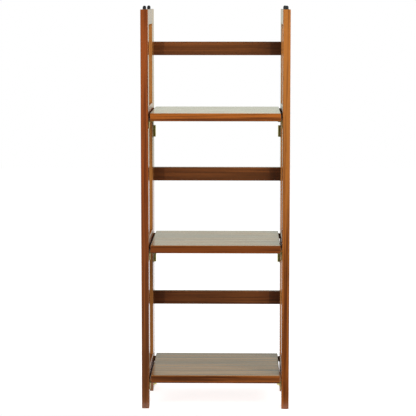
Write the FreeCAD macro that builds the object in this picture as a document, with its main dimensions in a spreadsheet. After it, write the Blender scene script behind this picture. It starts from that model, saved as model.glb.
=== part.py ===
import FreeCAD, Part
import os
import Sketcher

# Folding bookcase in lacquered wood: a back frame, two side frames hinged to it,
# and three shelves that pivot at the rear and rest on brackets at the front.
# Millimetres, +Z up, origin at the bottom centre, front towards -Y.

doc = FreeCAD.newDocument("folding_bookcase")
sheet = doc.addObject("Spreadsheet::Sheet", "Sizes")

SIZES = {
    # Overall case
    "case_width": 355.0,
    "case_height": 960.0,
    "case_depth": 279.0,
    "board": 18.0,
    "eased_edge": 1.5,
    # Side frames and back frame
    "stile_depth": 40.0,
    "post_depth": 44.0,
    "fold_gap": 1.0,
    "rail_height": 36.0,
    "rail_above_shelf": 14.0,
    "back_rail_height": 34.0,
    "back_rail_thickness": 16.0,
    "back_rail_above_shelf": 146.5,
    # Shelves
    "shelf_thickness": 19.0,
    "shelf_end_gap": 4.0,
    "shelf_rear_gap": 2.0,
    "bottom_shelf_top": 82.0,
    "top_space": 245.0,
    # Shelf pivots
    "pivot_radius": 3.0,
    "pivot_setback": 28.0,
    "pivot_run": 0.05,
    "pin_in_post": 12.0,
    "pin_in_shelf": 25.0,
    "washer_radius": 7.0,
    "washer_run": 0.3,
    # Dowels in the frame joints
    "dowel_radius": 4.0,
    "dowel_in_rail": 15.0,
    "dowel_spacing": 18.0,
    "dowel_fit": 0.05,
    "hole_overrun": 1.0,
    # Stacking pegs and their sockets
    "peg_radius": 4.25,
    "peg_height": 9.0,
    "peg_tenon_radius": 3.0,
    "peg_sunk": 14.0,
    "peg_web": 2.0,
    "socket_clearance": 0.4,
    # Butt hinges between the side frames and the back posts
    "hinge_height": 28.0,
    "hinge_below_shelf": 26.0,
    "barrel_radius": 3.0,
    "barrel_standoff": 0.4,
    "leaf_width": 15.0,
    "leaf_thickness": 1.5,
    "knuckle_gap": 0.3,
    "hinge_pin_radius": 1.5,
    "hinge_pin_head": 0.8,
    "hinge_run": 0.05,
    # Brackets under the front corners of the shelves
    "rest_width": 16.0,
    "rest_drop": 18.0,
    "rest_reach": 11.0,
    "rest_thickness": 2.0,
    "rest_clearance": 0.2,
    "rest_screw_spacing": 8.0,
    # Wood screws
    "screw_radius": 1.4,
    "screw_head_radius": 2.6,
    "screw_length": 11.0,
    "screw_fit": 0.05,
}

for row, (alias, value) in enumerate(SIZES.items(), start=1):
    sheet.set(f"A{row}", alias)
    sheet.set(f"B{row}", str(value))
    sheet.setAlias(f"B{row}", alias)
doc.recompute()

# Places worked out from the sheet, as expressions
INNER = "(Sizes.case_width / 2 - Sizes.board)"
FRONT = "(-Sizes.case_depth / 2)"
SIDE_DEPTH = "(Sizes.case_depth - Sizes.post_depth - Sizes.fold_gap)"
REAR_STILE = f"({FRONT} + {SIDE_DEPTH} - Sizes.stile_depth)"
POST = "(Sizes.case_depth / 2 - Sizes.post_depth)"
RAIL_LENGTH = f"({SIDE_DEPTH} - 2 * Sizes.stile_depth)"
SHELF_LENGTH = f"(2 * ({INNER} - Sizes.shelf_end_gap))"
SHELF_DEPTH = "(Sizes.case_depth - Sizes.shelf_rear_gap)"
PIVOT = "(Sizes.case_depth / 2 - Sizes.pivot_setback)"
PIVOT_IN_POST = "(Sizes.post_depth - Sizes.pivot_setback)"
RAIL_HOLE = "(Sizes.dowel_in_rail + Sizes.hole_overrun)"
STILE_HOLE = "(Sizes.stile_depth / 2 - Sizes.peg_radius - Sizes.peg_web)"
DOWEL_IN_STILE = f"({STILE_HOLE} - Sizes.hole_overrun)"
POST_HOLE = "(Sizes.board - Sizes.dowel_radius)"
DOWEL_IN_POST = f"({POST_HOLE} - Sizes.hole_overrun)"
DOWEL_BORE = "(Sizes.dowel_radius + Sizes.dowel_fit)"
BACK_RAIL = "(Sizes.case_depth / 2 - Sizes.back_rail_thickness)"
HINGE_OUT = f"({INNER} - Sizes.barrel_standoff - Sizes.barrel_radius)"
HINGE_BACK = f"({FRONT} + {SIDE_DEPTH} + Sizes.fold_gap / 2)"
LEAF_START = "(Sizes.barrel_radius + Sizes.knuckle_gap)"
LEAF_MIDDLE = f"(({LEAF_START} + Sizes.leaf_width) / 2)"
PITCH = "((Sizes.case_height - Sizes.top_space - Sizes.bottom_shelf_top) / 2)"
LEVELS = ("bottom", "middle", "top")
SIDES = {"left": -1, "right": 1}


def shelf_top(level):
    """Height of a shelf's upper face."""
    return f"(Sizes.bottom_shelf_top + {LEVELS.index(level)} * {PITCH})"


def shelf_under(level):
    """Height of a shelf's lower face."""
    return f"({shelf_top(level)} - Sizes.shelf_thickness)"


def shelf_middle(level):
    """Height of a shelf's pivot axis."""
    return f"({shelf_top(level)} - Sizes.shelf_thickness / 2)"


def hinge_bottom(level):
    """Height of the foot of the hinge under a shelf."""
    return f"({shelf_under(level)} - Sizes.hinge_below_shelf - Sizes.hinge_height)"


def hinge_screw_heights(level):
    """Heights of the two screws in each leaf of a hinge."""
    return [f"({hinge_bottom(level)} + {share} * Sizes.hinge_height)" for share in HINGE_SCREW_SHARES]


def rest_top(level):
    """Height of the bracket's upper face, just under its shelf."""
    return f"({shelf_under(level)} - Sizes.rest_clearance)"


def rest_screw_height(level):
    """Height of the screws in the bracket's upright leg."""
    return f"({rest_top(level)} - {REST_SCREW_SHARE} * Sizes.rest_drop)"


def side_rail_bottom(level):
    """Height of the lower edge of a side rail; "crown" is the rail at the top."""
    if level == "crown":
        return "(Sizes.case_height - Sizes.rail_height)"
    return f"({shelf_top(level)} + Sizes.rail_above_shelf - Sizes.rail_height)"


def back_rail_bottom(level):
    """Height of the lower edge of a back rail."""
    return f"({shelf_top(level)} + Sizes.back_rail_above_shelf - Sizes.back_rail_height / 2)"


HINGE_SCREW_SHARES = (0.2, 0.8)
REST_SCREW_SHARE = 0.6
KNUCKLE_SHARES = {"side": ((0, 1 / 3), (2 / 3, 1)), "post": ((1 / 3, 2 / 3),)}
SIDE_RAILS = {"crown": "top_rail", **{level: f"shelf_rail_{level}" for level in LEVELS}}

# A face of a board, as its sketch plane, the sign of its offset and the way a cut goes in
FACES = {
    "x_low": ("YZ_Plane", 0, True),
    "x_high": ("YZ_Plane", 1, False),
    "y_low": ("XZ_Plane", 0, False),
    "y_high": ("XZ_Plane", -1, True),
    "z_low": ("XY_Plane", 0, True),
    "z_high": ("XY_Plane", 1, False),
}

nodes = {}


def bind(thing, **expressions):
    """Ties properties of an object to the sheet; a double underscore stands for a dot."""
    for path, expression in expressions.items():
        thing.setExpression(path.replace("__", "."), expression)


def place(thing, east, north, up):
    """Puts an object's origin at three expressions."""
    bind(thing, Placement__Base__x=east, Placement__Base__y=north, Placement__Base__z=up)


def origin_plane(body, role):
    """One of a body's own origin planes."""
    return next(plane for plane in body.Origin.OriginFeatures if plane.Role == role)


def dimension(sketch, name, expression, *constraint):
    """Adds a named sketch dimension tied to the sheet."""
    index = sketch.addConstraint(Sketcher.Constraint(*constraint, 1.0))
    sketch.renameConstraint(index, name)
    sketch.setExpression(f"Constraints.{name}", expression)


def sketch_on(body, name, role):
    """An empty sketch on one of a body's origin planes."""
    sketch = body.newObject("Sketcher::SketchObject", name)
    sketch.AttachmentSupport = [(origin_plane(body, role), "")]
    sketch.MapMode = "FlatFace"
    return sketch


def outline(sketch, points):
    """Draws a closed outline of straight runs, each corner at a pair of expressions from the origin.

    The first corner stands on the origin; a corner with no expression for a direction is level with it.
    """
    count = len(points)
    starts = [FreeCAD.Vector(across, along, 0) for across, along, _, _ in points]
    lines = [
        sketch.addGeometry(Part.LineSegment(starts[i], starts[(i + 1) % count])) for i in range(count)
    ]
    for i in range(count):
        sketch.addConstraint(Sketcher.Constraint("Coincident", lines[i], 2, lines[(i + 1) % count], 1))
        level = points[i][1] == points[(i + 1) % count][1]
        sketch.addConstraint(Sketcher.Constraint("Horizontal" if level else "Vertical", lines[i]))
    sketch.addConstraint(Sketcher.Constraint("Coincident", lines[0], 1, -1, 1))
    for i, (_, _, across, along) in enumerate(points):
        if across:
            dimension(sketch, f"across{i}", across, "DistanceX", -1, 1, lines[i], 1)
        if along:
            dimension(sketch, f"along{i}", along, "DistanceY", -1, 1, lines[i], 1)


def board(label, wide, deep, tall, grain=None):
    """A sawn board with eased edges, its low corner at its own origin.

    With a grain direction only the long edges are eased, so that the ends meet their neighbours flat.
    """
    body = doc.addObject("PartDesign::Body", label)
    sketch = sketch_on(body, f"{label}_section", "XY_Plane")
    outline(sketch, [(0, 0, None, None), (1, 0, wide, None), (1, 1, None, deep), (0, 1, None, None)])
    pad = body.newObject("PartDesign::Pad", f"{label}_pad")
    pad.Profile = sketch
    bind(pad, Length=tall)
    doc.recompute()
    edges = []
    for number, edge in enumerate(pad.Shape.Edges, start=1):
        along = edge.tangentAt(edge.FirstParameter)
        if grain is None or abs(along.dot(grain)) > 1 / 2:
            edges.append(f"Edge{number}")
    fillet = body.newObject("PartDesign::Fillet", f"{label}_eased")
    fillet.Base = (pad, edges)
    bind(fillet, Radius="Sizes.eased_edge")
    doc.recompute()
    nodes[label] = body
    return body


def drill(body, name, face, span, centres, radius, depth):
    """Drills blind holes into one face of a board; span is the board's size across that face."""
    role, sign, inward = FACES[face]
    sketch = sketch_on(body, name, role)
    if sign:
        bind(sketch, AttachmentOffset__Base__z=f"{sign} * {span}")
    for number, (across, along) in enumerate(centres):
        circle = sketch.addGeometry(Part.Circle(FreeCAD.Vector(1, 1, 0), FreeCAD.Vector(0, 0, 1), 1))
        dimension(sketch, f"across{number}", across, "DistanceX", -1, 1, circle, 3)
        dimension(sketch, f"along{number}", along, "DistanceY", -1, 1, circle, 3)
        dimension(sketch, f"radius{number}", radius, "Radius", circle)
    before = body.Shape.Volume
    pocket = body.newObject("PartDesign::Pocket", f"{name}_cut")
    pocket.Profile = sketch
    pocket.Reversed = inward
    bind(pocket, Length=depth)
    doc.recompute()
    if not body.Shape.Volume < before:
        raise RuntimeError(f"{name} cuts nothing")


def pair(middle):
    """The heights of a rail's two dowels about its middle."""
    return [f"({middle} {sign} Sizes.dowel_spacing / 2)" for sign in "-+"]


def box(name, low, size):
    """A plain block from its low corner and its size, both as expressions."""
    block = doc.addObject("Part::Box", name)
    bind(block, Length=size[0], Width=size[1], Height=size[2])
    place(block, *low)
    return block


TURNS = {
    "+x": FreeCAD.Rotation(FreeCAD.Vector(0, 1, 0), 90),
    "-x": FreeCAD.Rotation(FreeCAD.Vector(0, 1, 0), -90),
    "+y": FreeCAD.Rotation(FreeCAD.Vector(1, 0, 0), -90),
    "+z": FreeCAD.Rotation(),
}


def rod(name, start, radius, length, way="+z"):
    """A round bar that leaves a point along an axis."""
    bar = doc.addObject("Part::Cylinder", name)
    bind(bar, Radius=radius, Height=length)
    bar.Placement.Rotation = TURNS[way]
    place(bar, *start)
    return bar


def fuse(name, pieces):
    """Several overlapping shapes as one solid."""
    joined = doc.addObject("Part::MultiFuse", name)
    joined.Shapes = pieces
    return joined


def cut(name, base, tools):
    """A shape less one or more tools."""
    result = doc.addObject("Part::Cut", name)
    result.Base = base
    result.Tool = tools[0] if len(tools) == 1 else fuse(f"{name}_tools", tools)
    return result


def group(label, pieces):
    """Like pieces as one node of separate solids."""
    compound = doc.addObject("Part::Compound", label)
    compound.Links = pieces
    nodes[label] = compound


def countersunk(name, start, way, plate, fit="0"):
    """A countersunk wood screw, head flush with the plate's outer face at start."""
    head = doc.addObject("Part::Cone", f"{name}_head")
    bind(head, Radius1=f"Sizes.screw_head_radius + {fit}", Radius2=f"Sizes.screw_radius + {fit}")
    bind(head, Height=plate)
    head.Placement.Rotation = TURNS[way]
    place(head, *start)
    shank = rod(f"{name}_shank", start, f"Sizes.screw_radius + {fit}", f"Sizes.screw_length + {fit}", way)
    return fuse(name, [head, shank])


def side_frame(side):
    """Front stile, rear stile and four rails of one side, doweled together."""
    sign = SIDES[side]
    outer = f"({sign} * {INNER})" if sign > 0 else f"({sign} * {INNER} - Sizes.board)"
    inner_face = "x_low" if sign > 0 else "x_high"
    middle = "(Sizes.board / 2)"
    size = ("Sizes.board", "Sizes.stile_depth", "Sizes.case_height")
    front = board(f"{side}_front_stile", *size)
    place(front, outer, FRONT, "0")
    rear = board(f"{side}_rear_stile", *size)
    place(rear, outer, REAR_STILE, "0")

    centres = [f"({side_rail_bottom(level)} + Sizes.rail_height / 2)" for level in SIDE_RAILS]
    holes = [(middle, height) for centre in centres for height in pair(centre)]
    drill(front, f"{side}_front_dowels", "y_high", "Sizes.stile_depth", holes, DOWEL_BORE, STILE_HOLE)
    drill(rear, f"{side}_rear_dowels", "y_low", "Sizes.stile_depth", holes, DOWEL_BORE, STILE_HOLE)
    peg_place = [(middle, "Sizes.stile_depth / 2")]
    for name, stile in (("front", front), ("rear", rear)):
        drill(stile, f"{side}_{name}_peg", "z_high", "Sizes.case_height", peg_place,
              "Sizes.peg_tenon_radius + Sizes.dowel_fit", "Sizes.peg_sunk + Sizes.dowel_fit")
        drill(stile, f"{side}_{name}_socket", "z_low", "Sizes.case_height", peg_place,
              "Sizes.peg_radius + Sizes.socket_clearance", "Sizes.peg_height + Sizes.hole_overrun")

    pilot = ("Sizes.screw_radius + Sizes.screw_fit", "Sizes.screw_length + Sizes.screw_fit")
    rest_holes = [
        (f"Sizes.stile_depth / 2 {step} Sizes.rest_screw_spacing / 2", rest_screw_height(level))
        for level in LEVELS for step in "-+"
    ]
    drill(front, f"{side}_rest_pilots", inner_face, "Sizes.board", rest_holes, *pilot)
    hinge_holes = [
        (f"Sizes.stile_depth + Sizes.fold_gap / 2 - {LEAF_MIDDLE}", height)
        for level in LEVELS for height in hinge_screw_heights(level)
    ]
    drill(rear, f"{side}_hinge_pilots", inner_face, "Sizes.board", hinge_holes, *pilot)

    dowels = []
    for level, name in SIDE_RAILS.items():
        low = side_rail_bottom(level)
        label = f"{side}_{name}"
        rail = board(label, "Sizes.board", RAIL_LENGTH, "Sizes.rail_height", FreeCAD.Vector(0, 1, 0))
        place(rail, outer, f"{FRONT} + Sizes.stile_depth", low)
        ends = [(middle, height) for height in pair("(Sizes.rail_height / 2)")]
        for end in ("y_low", "y_high"):
            drill(rail, f"{label}_{end}", end, RAIL_LENGTH, ends, DOWEL_BORE, RAIL_HOLE)
        front_end = f"({FRONT} + Sizes.stile_depth - {DOWEL_IN_STILE})"
        rear_end = f"({REAR_STILE} - Sizes.dowel_in_rail)"
        for end in (front_end, rear_end):
            for height in pair(f"({low} + Sizes.rail_height / 2)"):
                start = (f"{outer} + {middle}", end, height)
                dowels.append(rod(f"{label}_dowel{len(dowels)}", start, "Sizes.dowel_radius",
                                  f"{DOWEL_IN_STILE} + Sizes.dowel_in_rail", "+y"))
    group(f"{side}_frame_dowels", dowels)

    pegs = []
    for name, low in (("front", FRONT), ("rear", REAR_STILE)):
        spot = (f"{outer} + {middle}", f"{low} + Sizes.stile_depth / 2")
        tenon = rod(f"{side}_{name}_peg_tenon", (*spot, "Sizes.case_height - Sizes.peg_sunk"),
                    "Sizes.peg_tenon_radius", "Sizes.peg_sunk + Sizes.peg_radius")
        shank = rod(f"{side}_{name}_peg_shank", (*spot, "Sizes.case_height"), "Sizes.peg_radius",
                    "Sizes.peg_height - Sizes.peg_radius")
        dome = doc.addObject("Part::Sphere", f"{side}_{name}_peg_dome")
        bind(dome, Radius="Sizes.peg_radius")
        place(dome, *spot, "Sizes.case_height + Sizes.peg_height - Sizes.peg_radius")
        pegs.append(fuse(f"{side}_{name}_peg_solid", [tenon, shank, dome]))
    group(f"{side}_stacking_pegs", pegs)


def shelf_rests(side):
    """The angle brackets under the front corners of the shelves, with their screws."""
    sign = SIDES[side]
    way = "+x" if sign > 0 else "-x"
    rests = []
    screws = []
    for level in LEVELS:
        label = f"{side}_rest_{level}"
        body = doc.addObject("PartDesign::Body", label)
        sketch = sketch_on(body, f"{label}_section", "XZ_Plane")
        outline(sketch, [
            (0, 0, None, None),
            (1, 0, "Sizes.rest_thickness", None),
            (1, 2, None, "Sizes.rest_drop - Sizes.rest_thickness"),
            (3, 2, "Sizes.rest_reach", None),
            (3, 3, None, "Sizes.rest_drop"),
            (0, 3, None, None),
        ])
        pad = body.newObject("PartDesign::Pad", f"{label}_pad")
        pad.Profile = sketch
        pad.Midplane = True
        bind(pad, Length="Sizes.rest_width")
        doc.recompute()
        body.Placement.Rotation = FreeCAD.Rotation(FreeCAD.Vector(0, 0, 1), 180 if sign > 0 else 0)
        middle = f"{FRONT} + Sizes.stile_depth / 2"
        place(body, f"{sign} * {INNER}", middle, f"{rest_top(level)} - Sizes.rest_drop")
        face = f"{sign} * ({INNER} - Sizes.rest_thickness)"
        tools = []
        for number, step in enumerate("-+"):
            start = (face, f"{middle} {step} Sizes.rest_screw_spacing / 2", rest_screw_height(level))
            screws.append(countersunk(f"{label}_screw{number}", start, way, "Sizes.rest_thickness"))
            tools.append(countersunk(f"{label}_hole{number}", start, way, "Sizes.rest_thickness",
                                     "Sizes.screw_fit"))
        rests.append(cut(f"{label}_drilled", body, tools))
    group(f"{side}_shelf_rests", rests)
    group(f"{side}_rest_screws", screws)


def hinges(side):
    """Butt hinges of one side: leaves on the side frame, leaves on the back post, pins and screws."""
    sign = SIDES[side]
    way = "+x" if sign > 0 else "-x"
    axis = f"({sign} * {HINGE_OUT})"
    plate_low = f"({INNER} - Sizes.leaf_thickness)" if sign > 0 else f"(-{INNER})"
    leaves = {"side": [], "post": []}
    screws = {"side": [], "post": []}
    pins = []
    for level in LEVELS:
        low = hinge_bottom(level)
        for leaf, toward in (("side", "-"), ("post", "+")):
            name = f"{side}_{leaf}_leaf_{level}"
            near = f"({HINGE_BACK} {toward} {LEAF_START})"
            plate_from = f"({HINGE_BACK} - Sizes.leaf_width)" if leaf == "side" else near
            pieces = [box(f"{name}_plate", (plate_low, plate_from, low),
                          ("Sizes.leaf_thickness", f"Sizes.leaf_width - {LEAF_START}", "Sizes.hinge_height"))]
            for number, (start_share, end_share) in enumerate(KNUCKLE_SHARES[leaf]):
                foot = f"({low} + {start_share} * Sizes.hinge_height)"
                span = f"({end_share - start_share} * Sizes.hinge_height)"
                if start_share > 0:
                    foot = f"({foot} + Sizes.knuckle_gap / 2)"
                    span = f"({span} - Sizes.knuckle_gap / 2)"
                if end_share < 1:
                    span = f"({span} - Sizes.knuckle_gap / 2)"
                pieces.append(rod(f"{name}_knuckle{number}", (axis, HINGE_BACK, foot),
                                  "Sizes.barrel_radius", span))
                web_from = near if leaf == "side" else HINGE_BACK
                pieces.append(box(f"{name}_web{number}", (plate_low, web_from, foot),
                                  ("Sizes.leaf_thickness", LEAF_START, span)))
            bore = rod(f"{name}_bore", (axis, HINGE_BACK, f"{low} - Sizes.hole_overrun"),
                       "Sizes.hinge_pin_radius + Sizes.hinge_run",
                       "Sizes.hinge_height + 2 * Sizes.hole_overrun")
            tools = [bore]
            face = f"{sign} * ({INNER} - Sizes.leaf_thickness)"
            for number, height in enumerate(hinge_screw_heights(level)):
                start = (face, f"{HINGE_BACK} {toward} {LEAF_MIDDLE}", height)
                screws[leaf].append(countersunk(f"{name}_screw{number}", start, way, "Sizes.leaf_thickness"))
                tools.append(countersunk(f"{name}_hole{number}", start, way, "Sizes.leaf_thickness",
                                         "Sizes.screw_fit"))
            leaves[leaf].append(cut(name, fuse(f"{name}_blank", pieces), tools))
        shank = rod(f"{side}_hinge_pin_{level}_shank", (axis, HINGE_BACK, low), "Sizes.hinge_pin_radius",
                    "Sizes.hinge_height")
        head = rod(f"{side}_hinge_pin_{level}_head", (axis, HINGE_BACK, f"{low} + Sizes.hinge_height"),
                   "Sizes.barrel_radius", "Sizes.hinge_pin_head")
        pins.append(fuse(f"{side}_hinge_pin_{level}", [shank, head]))
    group(f"{side}_hinge_side_leaves", leaves["side"])
    group(f"{side}_hinge_post_leaves", leaves["post"])
    group(f"{side}_hinge_pins", pins)
    group(f"{side}_hinge_side_screws", screws["side"])
    group(f"{side}_hinge_post_screws", screws["post"])


def back_frame():
    """Two back posts and three back rails, doweled together."""
    dowel_back = "Sizes.post_depth - Sizes.back_rail_thickness / 2"
    rail_centres = [f"({back_rail_bottom(level)} + Sizes.back_rail_height / 2)" for level in LEVELS]
    for side, sign in SIDES.items():
        outer = f"({INNER})" if sign > 0 else f"(-{INNER} - Sizes.board)"
        inner_face = "x_low" if sign > 0 else "x_high"
        label = f"back_post_{side}"
        post = board(label, "Sizes.board", "Sizes.post_depth", "Sizes.case_height")
        place(post, outer, POST, "0")
        holes = [(dowel_back, height) for centre in rail_centres for height in pair(centre)]
        drill(post, f"{label}_dowels", inner_face, "Sizes.board", holes, DOWEL_BORE, POST_HOLE)
        pivots = [(PIVOT_IN_POST, shelf_middle(level)) for level in LEVELS]
        drill(post, f"{label}_pivots", inner_face, "Sizes.board", pivots,
              "Sizes.pivot_radius + Sizes.dowel_fit", "Sizes.pin_in_post + Sizes.dowel_fit")
        screw_holes = [
            (f"{LEAF_MIDDLE} - Sizes.fold_gap / 2", height)
            for level in LEVELS for height in hinge_screw_heights(level)
        ]
        drill(post, f"{label}_hinge_pilots", inner_face, "Sizes.board", screw_holes,
              "Sizes.screw_radius + Sizes.screw_fit", "Sizes.screw_length + Sizes.screw_fit")

    dowels = []
    dowel_length = f"({DOWEL_IN_POST} + Sizes.dowel_in_rail)"
    for level in LEVELS:
        label = f"back_rail_{level}"
        length = f"(2 * {INNER})"
        rail = board(label, length, "Sizes.back_rail_thickness", "Sizes.back_rail_height",
                     FreeCAD.Vector(1, 0, 0))
        place(rail, f"-{INNER}", BACK_RAIL, back_rail_bottom(level))
        ends = [("Sizes.back_rail_thickness / 2", height) for height in pair("(Sizes.back_rail_height / 2)")]
        for face in ("x_low", "x_high"):
            drill(rail, f"{label}_{face}", face, length, ends, DOWEL_BORE, RAIL_HOLE)
        for start in (f"-{INNER} - {DOWEL_IN_POST}", f"{INNER} - Sizes.dowel_in_rail"):
            for height in pair(f"({back_rail_bottom(level)} + Sizes.back_rail_height / 2)"):
                spot = (start, f"{BACK_RAIL} + Sizes.back_rail_thickness / 2", height)
                bar = rod(f"{label}_dowel{len(dowels)}", spot, "Sizes.dowel_radius", dowel_length, "+x")
                dowels.append(bar)
    group("back_rail_dowels", dowels)


def shelves():
    """Three shelves with the pins they turn on and the spacer washers at their ends."""
    pins = []
    washers = []
    bore_depth = "Sizes.pin_in_shelf + Sizes.hole_overrun"
    washer_width = "(Sizes.shelf_end_gap - Sizes.washer_run)"
    pin_length = "Sizes.pin_in_post + Sizes.shelf_end_gap + Sizes.pin_in_shelf"
    for level in LEVELS:
        label = f"shelf_{level}"
        shelf = board(label, SHELF_LENGTH, SHELF_DEPTH, "Sizes.shelf_thickness")
        place(shelf, f"-{SHELF_LENGTH} / 2", FRONT, shelf_under(level))
        spot = [("Sizes.case_depth - Sizes.pivot_setback", "Sizes.shelf_thickness / 2")]
        for face in ("x_low", "x_high"):
            drill(shelf, f"{label}_{face}", face, SHELF_LENGTH, spot,
                  "Sizes.pivot_radius + Sizes.pivot_run", bore_depth)
        for side, sign in SIDES.items():
            way = "-x" if sign > 0 else "+x"
            start = (f"{sign} * ({INNER} + Sizes.pin_in_post)", PIVOT, shelf_middle(level))
            pins.append(rod(f"{label}_pin_{side}", start, "Sizes.pivot_radius", pin_length, way))
            seat = (f"{sign} * {INNER}", PIVOT, shelf_middle(level))
            disc = rod(f"{label}_disc_{side}", seat, "Sizes.washer_radius", washer_width, way)
            hole = rod(f"{label}_disc_bore_{side}", seat, "Sizes.pivot_radius + Sizes.pivot_run",
                       "Sizes.shelf_end_gap", way)
            washers.append(cut(f"{label}_washer_{side}", disc, [hole]))
    group("shelf_pivot_pins", pins)
    group("pivot_washers", washers)


back_frame()
for side in SIDES:
    side_frame(side)
    hinges(side)
    shelf_rests(side)
shelves()
doc.recompute()

for thing in doc.Objects:
    if "Invalid" in thing.State or "Error" in thing.State:
        raise RuntimeError(f"{thing.Label} failed: {thing.State}")
for label, thing in nodes.items():
    if thing.Shape.isNull() or not thing.Shape.isValid():
        raise RuntimeError(f"{label} has no sound shape")

os.makedirs("parts", exist_ok=True)
for label, thing in nodes.items():
    thing.Shape.exportStep(f"parts/{label}.step")
print(len(nodes), "nodes written")
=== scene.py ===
"""Looks of a narrow folding bookcase in glossy honey-brown wood with brass fittings."""

from __future__ import annotations

import logging
import math
from abc import ABC, abstractmethod
from dataclasses import dataclass
from enum import Enum
from typing import NamedTuple, Union

import bmesh
import bpy
from mathutils import Euler, Matrix, Vector


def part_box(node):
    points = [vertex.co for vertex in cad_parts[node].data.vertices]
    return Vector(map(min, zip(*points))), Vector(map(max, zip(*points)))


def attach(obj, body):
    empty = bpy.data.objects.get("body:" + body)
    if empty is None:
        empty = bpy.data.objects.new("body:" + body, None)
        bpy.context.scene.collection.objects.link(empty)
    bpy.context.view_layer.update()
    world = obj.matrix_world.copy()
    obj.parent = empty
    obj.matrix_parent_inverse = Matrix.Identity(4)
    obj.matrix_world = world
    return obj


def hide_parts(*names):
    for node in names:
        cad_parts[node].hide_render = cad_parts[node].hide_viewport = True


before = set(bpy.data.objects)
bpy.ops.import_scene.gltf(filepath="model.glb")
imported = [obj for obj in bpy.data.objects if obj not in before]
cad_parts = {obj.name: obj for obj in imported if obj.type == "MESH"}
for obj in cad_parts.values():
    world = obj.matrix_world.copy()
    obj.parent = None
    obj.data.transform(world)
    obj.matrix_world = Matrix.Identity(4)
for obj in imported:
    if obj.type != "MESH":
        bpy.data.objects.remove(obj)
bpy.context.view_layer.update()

LOG = logging.getLogger("bookcase")
SIDES = ("left", "right")
LEVELS = ("bottom", "middle", "top")
AXES = "XYZ"
NOISE_MEAN = 0.5
MERGE_DISTANCE = 1e-7
REST_HEAD_DEPTH = 0.002
HINGE_HEAD_DEPTH = 0.0015
WHITE = (1.0, 1.0, 1.0)

Triple = tuple[float, float, float]
Colour = Triple
Socket = bpy.types.NodeSocket
Feed = Union[Socket, float, tuple]


class Grain(Enum):
    """The axis of the shared frame that a board's grain runs along."""

    ACROSS = "X"
    BACKWARD = "Y"
    UPRIGHT = "Z"


class Graph:
    """Short calls for building a shader or group node tree."""

    def __init__(self, tree: bpy.types.NodeTree) -> None:
        """Keeps the tree that the calls add to."""
        self.tree = tree

    def add(self, kind: str, **inputs: Feed) -> bpy.types.Node:
        """Adds a node.

        Args:
            kind: Blender's node type.
            inputs: What feeds each input socket, by its name with an underscore for a space.

        Returns:
            The new node.
        """
        node = self.tree.nodes.new(kind)
        for name, value in inputs.items():
            self.feed(node.inputs[name.replace("_", " ")], value)
        return node

    def feed(self, socket: Socket, value: Feed) -> None:
        """Links a socket from another one, or sets its value.

        Args:
            socket: The input socket.
            value: A socket to link from, or a value. Three numbers make a colour where one is taken.
        """
        if isinstance(value, Socket):
            self.tree.links.new(value, socket)
        elif isinstance(value, tuple) and len(value) == 3 and socket.type == "RGBA":
            socket.default_value = (*value, 1.0)
        else:
            socket.default_value = value

    def math(self, operation: str, *values: Feed) -> Socket:
        """Adds a math node.

        Args:
            operation: Blender's name for the operation.
            values: What feeds its inputs, in their order.

        Returns:
            The result.
        """
        node = self.tree.nodes.new("ShaderNodeMath")
        node.operation = operation
        for socket, value in zip(node.inputs, values):
            self.feed(socket, value)
        return node.outputs[0]

    def vector_math(self, operation: str, *values: Feed) -> bpy.types.Node:
        """Adds a vector math node.

        Args:
            operation: Blender's name for the operation.
            values: What feeds its inputs, in their order.

        Returns:
            The new node.
        """
        node = self.tree.nodes.new("ShaderNodeVectorMath")
        node.operation = operation
        for socket, value in zip(node.inputs, values):
            self.feed(socket, value)
        return node

    def spread(
        self, value: Feed, low: float, high: float, to_low: float = 0.0, to_high: float = 1.0,
    ) -> Socket:
        """Maps a value smoothly from one range to another, and holds it at the ends.

        Args:
            value: The value.
            low: Where the first range starts.
            high: Where the first range ends.
            to_low: The result at its start.
            to_high: The result at its end.

        Returns:
            The mapped value.
        """
        node = self.tree.nodes.new("ShaderNodeMapRange")
        node.interpolation_type = "SMOOTHSTEP"
        for socket, item in zip(node.inputs, (value, low, high, to_low, to_high)):
            self.feed(socket, item)
        return node.outputs[0]

    def blend(self, amount: Feed, first: Feed, second: Feed) -> Socket:
        """Mixes two colours.

        Args:
            amount: From 0, all of the first colour, to 1, all of the second.
            first: The first colour.
            second: The second colour.

        Returns:
            The mixed colour.
        """
        node = self.tree.nodes.new("ShaderNodeMix")
        node.data_type = "RGBA"
        share = next(socket for socket in node.inputs if socket.name == "Factor" and socket.enabled)
        colours = [socket for socket in node.inputs if socket.type == "RGBA" and socket.enabled]
        for socket, value in zip((share, *colours), (amount, first, second)):
            self.feed(socket, value)
        return next(socket for socket in node.outputs if socket.type == "RGBA" and socket.enabled)

    def noise(self, vector: Socket, detail: float, roughness: float = 0.5, scale: float = 1.0) -> Socket:
        """Adds a noise texture.

        Args:
            vector: Its coordinates.
            detail: How many finer octaves it adds.
            roughness: How strong the finer octaves are.
            scale: How fine it is.

        Returns:
            Its value, about 0.5 on average.
        """
        node = self.add(
            "ShaderNodeTexNoise", Vector=vector, Scale=scale, Detail=detail, Roughness=roughness,
        )
        return node.outputs["Fac"] if "Fac" in node.outputs else node.outputs[0]

    def stretched(self, vector: Socket, scale: Triple) -> Socket:
        """A vector multiplied axis by axis."""
        return self.vector_math("MULTIPLY", vector, scale).outputs[0]


@dataclass(frozen=True)
class GrainLayer:
    """Streaks of one size, by how many come to a metre, and their share in the wood's tone."""

    across: float
    along: float
    detail: float
    roughness: float = 0.5
    tone: float = 0.0

    def streaks(self, graph: Graph, flow: Socket) -> Socket:
        """The layer's noise, drawn out along the third axis of its coordinates."""
        size = (self.across, self.across, self.along)
        return graph.noise(graph.stretched(flow, size), self.detail, self.roughness)


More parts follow.
